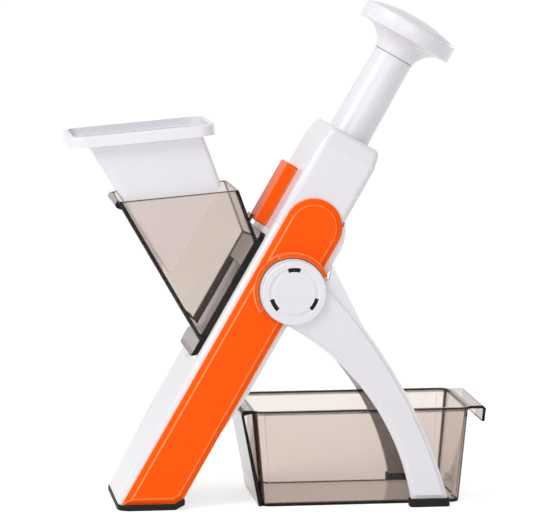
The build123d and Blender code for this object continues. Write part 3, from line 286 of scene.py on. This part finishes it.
# Guide rods and return springs: steel rods from seats in the housing to the tower's top, for the carriage.
# Round each rod is a spring, wound from hard steel wire with closed end turns.
# A push on the handle closes the springs' coils, and they open again to lift it.
dress(["guide_rod_right", "guide_rod_left"], bright_steel)


def wound_spring(node, wire_mm, turns):
    """Coil spring wound in the place of a node, with closed end turns."""
    end_turns, steps_per_turn = 1.5, 18
    low, high = (Vector(corner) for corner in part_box(node))
    middle = (low + high) / 2
    outer = (high.y - low.y) / 2
    reach = [point.co.dot(tower_up) for point in nodes[node].data.vertices]
    length = max(reach) - min(reach)
    wire = wire_mm / 1000
    coil_radius = outer - wire / 2
    foot = middle - tower_up * (length - wire) / 2
    # The end turns lie wire on wire, and the turns between them share out the rest of the length.
    open_turns = turns - 2 * end_turns
    open_length = length - wire - 2 * end_turns * wire
    winding = bpy.data.curves.new(node + "_winding", "CURVE")
    winding.dimensions = "3D"
    winding.bevel_depth = wire / 2
    winding.bevel_resolution = 2
    winding.use_fill_caps = True
    path = winding.splines.new("POLY")
    path.points.add(steps_per_turn * turns)
    for step, point in enumerate(path.points):
        turn = step / steps_per_turn
        opened = min(max(turn - end_turns, 0), open_turns)
        rise = (turn - opened) * wire + opened / open_turns * open_length
        around = math.tau * turn
        spot = foot + tower_up * rise + tower_back * (coil_radius * math.cos(around))
        point.co = (spot.x, spot.y + coil_radius * math.sin(around), spot.z, 1)
    former = bpy.data.objects.new(node + "_winding", winding)
    scene.collection.objects.link(former)
    bpy.context.view_layer.update()
    coil_mesh = bpy.data.meshes.new_from_object(former.evaluated_get(bpy.context.evaluated_depsgraph_get()))
    bpy.data.objects.remove(former)
    for face in coil_mesh.polygons:
        face.use_smooth = True
    coil_mesh.materials.clear()
    coil_mesh.materials.append(bright_steel)
    coil = bpy.data.objects.new(node + "_coil", coil_mesh)
    scene.collection.objects.link(coil)
    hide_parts(node)
    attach(coil, "body")
    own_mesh(coil)


for side in ("right", "left"):
    wound_spring("return_spring_" + side, wire_mm=0.8, turns=20)

# Blade carriage: a white ABS frame that hangs from the handle and runs on the rods.
# A cross blade is let into its plate and screwed there, and a row of upright julienne blades is on its deck.

# The blades are ground stainless steel: brighter than the rods, with fine grinding lines.
# The lines are drawn coarser than they are, so that they show.
ground_steel = drawn_steel(
    "ground_stainless_steel", deep="#B8B8BC", pale="#E2E2E6", roughness=0.2, line_mm=0.4)
dress(["blade_carriage"], white_abs, edge_mm=0.5)
dress(["slicing_blade", "julienne_blades"], ground_steel)
dress(["blade_screws"], bright_steel)

# Handle: a white ABS shaft, screwed to the carriage, that slides in a nylon bush in the tower's top.
# The mushroom knob is a second moulding, with a spigot that is pushed into the shaft's end.
dress(["handle_shaft", "handle_knob"], white_abs, edge_mm=0.4)
dress(["shaft_bush"], grey_nylon)
dress(["handle_screw"], bright_steel)

# A thin grey nylon ring is set in the joint between shaft and knob as a painted shadow: it stands in for the
# seam's dark gap, and shows as a fine grey line round it.
seam_wire, seam_sunk_share, seam_sides, seam_steps = 0.0004, 0.55, 10, 96
level_reach = 0.00002
shaft_points = [point.co for point in nodes["handle_shaft"].data.vertices]
shaft_top = max(point.dot(tower_up) for point in shaft_points)
shaft_end = [point for point in shaft_points if point.dot(tower_up) > shaft_top - level_reach]
end_low = Vector([min(point[k] for point in shaft_end) for k in range(3)])
end_high = Vector([max(point[k] for point in shaft_end) for k in range(3)])
seam_middle = (end_low + end_high) / 2
seam_radius = max((point - seam_middle).length for point in shaft_end) - seam_wire * seam_sunk_share
wound = bmesh.new()
section_turns = [math.tau * k / seam_sides for k in range(seam_sides)]
section = [wound.verts.new((seam_radius + seam_wire * math.cos(turn), 0, seam_wire * math.sin(turn)))
           for turn in section_turns]
section_edges = [wound.edges.new((section[k], section[(k + 1) % seam_sides])) for k in range(seam_sides)]
bmesh.ops.spin(
    wound, geom=section + section_edges, axis=(0, 0, 1), cent=(0, 0, 0), angle=math.tau, steps=seam_steps)
bmesh.ops.remove_doubles(wound, verts=wound.verts, dist=join_reach)
bmesh.ops.recalc_face_normals(wound, faces=wound.faces)
seam_turn = tower_up.to_track_quat("Z", "Y").to_matrix().to_4x4()
bmesh.ops.transform(wound, matrix=seam_turn, verts=wound.verts)
bmesh.ops.translate(wound, vec=seam_middle, verts=wound.verts)
for face in wound.faces:
    face.smooth = True
seam_mesh = bpy.data.meshes.new("knob_seam_shade_ring")
wound.to_mesh(seam_mesh)
wound.free()
seam_mesh.materials.append(grey_nylon)
seam_ring = bpy.data.objects.new("knob_seam_shade_ring", seam_mesh)
scene.collection.objects.link(seam_ring)
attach(seam_ring, "handle")

# Hopper: a chute with a lipped mouth on a thick flange, injection-moulded in smoke-tinted SAN.
# It tips on a bead under the flange, which sits in a pocket in the tower's front.

# Smoke SAN is clear and polished, and its tint lies in the plastic: a wall seen face on is pale and warm.
# An edge seen along its length is nearly black, partly from that tint and partly from painted shade in its
# base colour.
# Its IOR is set below the usual 1.57, so that its walls mirror the white room less.
smoke_san = bpy.data.materials.new("smoke_clear_san")
smoke_san.use_nodes = True
smoke_tree = smoke_san.node_tree
smoke_tree.nodes.clear()
smoke_flow_mm, smoke_flow_depth_mm, smoke_edge_mm = 25.0, 0.1, 2.1
smoke_place = add_node(smoke_tree, "ShaderNodeTexCoord").outputs["Object"]
smoke_flow = add_node(smoke_tree, "ShaderNodeTexNoise", None, {
    "Vector": smoke_place, "Scale": 1000 / smoke_flow_mm, "Detail": 2.0})
smoke_bump = add_node(smoke_tree, "ShaderNodeBump", None, {
    "Height": smoke_flow.outputs["Fac"], "Strength": 0.15, "Distance": smoke_flow_depth_mm / 1000})

# The flange and the front wall are as deep as the hopper is wide, so their side ends get dark bands of
# painted shade, where the plastic is looked along its depth.
# The tray's floor and rim are looked along in the same way, and so are its round corners, and they get the
# same painted shade.
# Places are in metres: out along the tower's front normal, fore along the front wall's normal, and up.
hopper_start, flange_top, front_wall_inside = 0.015, 0.03135, -0.0979
tray_floor_top, tray_rim_low = 0.0024, 0.0714
mostly, partly = 0.7, 0.3
smoke_out = add_node(smoke_tree, "ShaderNodeVectorMath", {"operation": "DOT_PRODUCT"}, {
    0: smoke_place, 1: tuple(-tower_back)}).outputs["Value"]
smoke_fore = add_node(smoke_tree, "ShaderNodeVectorMath", {"operation": "DOT_PRODUCT"}, {
    0: smoke_place, 1: (-math.sin(tower_lean), 0, -math.cos(tower_lean))}).outputs["Value"]
smoke_height = add_node(smoke_tree, "ShaderNodeSeparateXYZ", None, {"Vector": smoke_place}).outputs["Z"]
smoke_face = add_node(smoke_tree, "ShaderNodeNewGeometry").outputs["Normal"]
smoke_ways = add_node(smoke_tree, "ShaderNodeVectorMath", {"operation": "ABSOLUTE"}, {0: smoke_face})
facing = add_node(smoke_tree, "ShaderNodeSeparateXYZ", None, {
    "Vector": smoke_ways.outputs["Vector"]}).outputs
masks = {}
for mask, operation, measure, limit in (
        ("on_hopper", "GREATER_THAN", smoke_out, hopper_start),
        ("in_flange", "LESS_THAN", smoke_out, flange_top),
        ("in_front", "GREATER_THAN", smoke_fore, front_wall_inside),
        ("on_side", "GREATER_THAN", facing["Y"], mostly),
        ("on_tray", "LESS_THAN", smoke_out, hopper_start),
        ("in_floor", "LESS_THAN", smoke_height, tray_floor_top),
        ("in_rim", "GREATER_THAN", smoke_height, tray_rim_low),
        ("on_end", "GREATER_THAN", facing["X"], mostly),
        ("past_end", "GREATER_THAN", facing["Y"], partly),
        ("on_upright", "LESS_THAN", facing["Z"], mostly)):
    masks[mask] = add_node(smoke_tree, "ShaderNodeMath", {"operation": operation}, {
        0: measure, 1: limit}).outputs["Value"]
for mask, operation, first, second in (
        ("hopper_plate", "MAXIMUM", "in_flange", "in_front"),
        ("hopper_side", "MULTIPLY", "hopper_plate", "on_side"),
        ("hopper_band", "MULTIPLY", "hopper_side", "on_hopper"),
        ("tray_plate", "MAXIMUM", "in_floor", "in_rim"),
        ("tray_corner", "MULTIPLY", "on_end", "past_end"),
        ("tray_line", "MAXIMUM", "tray_plate", "tray_corner"),
        ("tray_upright", "MULTIPLY", "tray_line", "on_upright"),
        ("tray_band", "MULTIPLY", "tray_upright", "on_tray"),
        ("band", "MAXIMUM", "hopper_band", "tray_band")):
    masks[mask] = add_node(smoke_tree, "ShaderNodeMath", {"operation": operation}, {
        0: masks[first], 1: masks[second]}).outputs["Value"]
# Painted shade: the masked bands take a dark brown base colour.
smoke_depth_shade = add_node(smoke_tree, "ShaderNodeMix", {"data_type": "RGBA"}, {
    "Factor": masks["band"], "A": linear("#FFFFFF"), "B": linear("#4E403B")})

# The edges get a near-black painted shade, which starts at the first of these cosines of an edge's turn and
# is full at the second.
smoke_edge_start, smoke_edge_full = 0.995, 0.95
smoke_round = add_node(smoke_tree, "ShaderNodeBevel", {"samples": 8}, {"Radius": smoke_edge_mm / 1000})
smoke_turn = add_node(smoke_tree, "ShaderNodeVectorMath", {"operation": "DOT_PRODUCT"}, {
    0: smoke_face, 1: smoke_round.outputs["Normal"]})
smoke_edge_shade = add_node(smoke_tree, "ShaderNodeMapRange", None, {
    "Value": smoke_turn.outputs["Value"], "From Min": smoke_edge_start, "From Max": smoke_edge_full})
smoke_tone = add_node(smoke_tree, "ShaderNodeMix", {"data_type": "RGBA"}, {
    "Factor": smoke_edge_shade.outputs["Result"], "A": smoke_depth_shade.outputs["Result"], "B": linear("#040303")})
smoke_skin = add_node(smoke_tree, "ShaderNodeBsdfPrincipled", None, {
    "Base Color": smoke_tone.outputs["Result"], "Roughness": 0.03, "IOR": 1.3,
    "Transmission Weight": 1.0, "Normal": smoke_bump.outputs["Normal"]})
smoke_tint = add_node(smoke_tree, "ShaderNodeVolumeAbsorption", None, {
    "Color": linear("#BA9C82"), "Density": 240.0})
add_node(smoke_tree, "ShaderNodeOutputMaterial", None, {
    "Surface": smoke_skin.outputs["BSDF"], "Volume": smoke_tint.outputs["Volume"]})
dress(["hopper"], smoke_san, edge_mm=0.2)
# A clear wall lets the light in, so the hopper casts no shadow on the pusher that stands in it.
nodes["hopper"].visible_shadow = False

# Pusher: a hollow white ABS plunger that slides in the chute, with a broad open rim to press on.
# It is drafted to leave its mould, and studs on its slanted end grip what it pushes.
dress(["pusher"], white_abs)

# Latch: a hollow orange ABS block that slides on a rail on the tower's front, above the hopper.
# A small steel spring between the rail's foot and the latch's floor holds it down, behind the hopper's tab.
dress(["latch"], orange_abs, edge_mm=0.5)
wound_spring("latch_spring", wire_mm=0.6, turns=6)

# Tray: a loose catch tray that stands behind the tower, between the legs.
# It is moulded in the hopper's smoke SAN, with a fold-over handle behind and a sloping skirt in front.
dress(["tray"], smoke_san, edge_mm=0.4)

# Floor: a sheet of white paper that runs out of sight.
# It shows white to the eye, in reflections and through the smoke plastic, and takes the slicer's shadow.
floor_reach, floor_drop = 30.0, 0.0002
floor_mesh = bpy.data.meshes.new("floor")
floor_mesh.from_pydata(
    [(-floor_reach, -floor_reach, 0), (floor_reach, -floor_reach, 0),
     (floor_reach, floor_reach, 0), (-floor_reach, floor_reach, 0)], [], [(0, 1, 2, 3)])
floor = bpy.data.objects.new("floor", floor_mesh)
floor.location.z = -floor_drop
scene.collection.objects.link(floor)
paper = bpy.data.materials.new("white_seamless_paper")
paper.use_nodes = True
paper_tree = paper.node_tree
paper_tree.nodes.clear()
paper_path = add_node(paper_tree, "ShaderNodeLightPath").outputs
paper_eye = add_node(paper_tree, "ShaderNodeMath", {"operation": "MAXIMUM"}, {
    0: paper_path["Is Camera Ray"], 1: paper_path["Is Glossy Ray"]})
paper_seen = add_node(paper_tree, "ShaderNodeMath", {"operation": "MAXIMUM"}, {
    0: paper_eye.outputs["Value"], 1: paper_path["Is Transmission Ray"]})
paper_plain = add_node(paper_tree, "ShaderNodeBsdfDiffuse", None, {"Color": linear("#F8F8F8")})
paper_shade = add_node(paper_tree, "ShaderNodeBsdfDiffuse", None, {"Color": linear("#D0D0D0")})
paper_glow = add_node(paper_tree, "ShaderNodeEmission", None, {"Color": linear("#FFFFFF"), "Strength": 0.68})
paper_white = add_node(paper_tree, "ShaderNodeAddShader", None, {
    0: paper_shade.outputs["BSDF"], 1: paper_glow.outputs["Emission"]})
paper_skin = add_node(paper_tree, "ShaderNodeMixShader", None, {
    "Fac": paper_seen.outputs["Value"], 1: paper_plain.outputs["BSDF"], 2: paper_white.outputs["Shader"]})
add_node(paper_tree, "ShaderNodeOutputMaterial", None, {"Surface": paper_skin.outputs["Shader"]})
floor_mesh.materials.append(paper)

# Room: a white studio round the slicer, which lights it evenly from all sides.
# Like the floor, it shows white to the eye, in reflections and through the smoke plastic.
world = bpy.data.worlds.new("studio")
world.use_nodes = True
scene.world = world
sky = world.node_tree
sky.nodes.clear()
sky_path = add_node(sky, "ShaderNodeLightPath").outputs
sky_eye = add_node(sky, "ShaderNodeMath", {"operation": "MAXIMUM"}, {
    0: sky_path["Is Camera Ray"], 1: sky_path["Is Glossy Ray"]})
sky_seen = add_node(sky, "ShaderNodeMath", {"operation": "MAXIMUM"}, {
    0: sky_eye.outputs["Value"], 1: sky_path["Is Transmission Ray"]})
sky_level = add_node(sky, "ShaderNodeMapRange", None, {
    "Value": sky_seen.outputs["Value"], "To Min": 0.56, "To Max": 1.0})
sky_light = add_node(sky, "ShaderNodeBackground", None, {
    "Color": linear("#FFFFFF"), "Strength": sky_level.outputs["Result"]})
add_node(sky, "ShaderNodeOutputWorld", None, {"Surface": sky_light.outputs["Background"]})

# Lamps: a high soft box at the left lights the tower's leaning front and the latch.
# One in front fills the side that is seen first, and a weaker one behind lifts the back.
slicer_middle = (0.1, 0, 0.2)


def soft_box(name, place, size, power):
    """Soft box at a place, aimed at the slicer's middle."""
    lamp = bpy.data.lights.new(name, "AREA")
    lamp.shape = "RECTANGLE"
    lamp.size, lamp.size_y = size
    lamp.energy = power
    held = bpy.data.objects.new(name, lamp)
    held.location = place
    held.rotation_euler = (Vector(slicer_middle) - Vector(place)).to_track_quat("-Z", "Y").to_euler()
    scene.collection.objects.link(held)


soft_box("key_left", place=(-1.3, -0.9, 1.6), size=(0.9, 1.1), power=23.0)
soft_box("front_fill", place=(-0.3, -2.4, 0.45), size=(1.2, 1.0), power=10.5)
soft_box("back_fill", place=(2.0, 1.2, 0.3), size=(1.2, 0.5), power=7.0)

# Camera: a long lens that looks down by about seven degrees, from a little to the left of the slicer's side.
# Its focal length and the picture's width are in picture points, and the sensor's width is in millimetres.
focal_points, picture_points, sensor_mm = 3497.4, 533, 36
camera_turn, camera_rise = math.radians(-7.5), math.radians(7.22)
camera_data = bpy.data.cameras.new("camera")
camera_data.lens = focal_points / picture_points * sensor_mm
camera_data.clip_end = 100
camera = bpy.data.objects.new("camera", camera_data)
camera.location = (-0.250, -2.6, 0.5126)
backward = Vector((
    math.sin(camera_turn) * math.cos(camera_rise), -math.cos(camera_turn) * math.cos(camera_rise),
    math.sin(camera_rise)))
camera.rotation_euler = (-backward).to_track_quat("-Z", "Y").to_euler()
scene.collection.objects.link(camera)
scene.camera = camera
scene.view_settings.view_transform = "Standard"
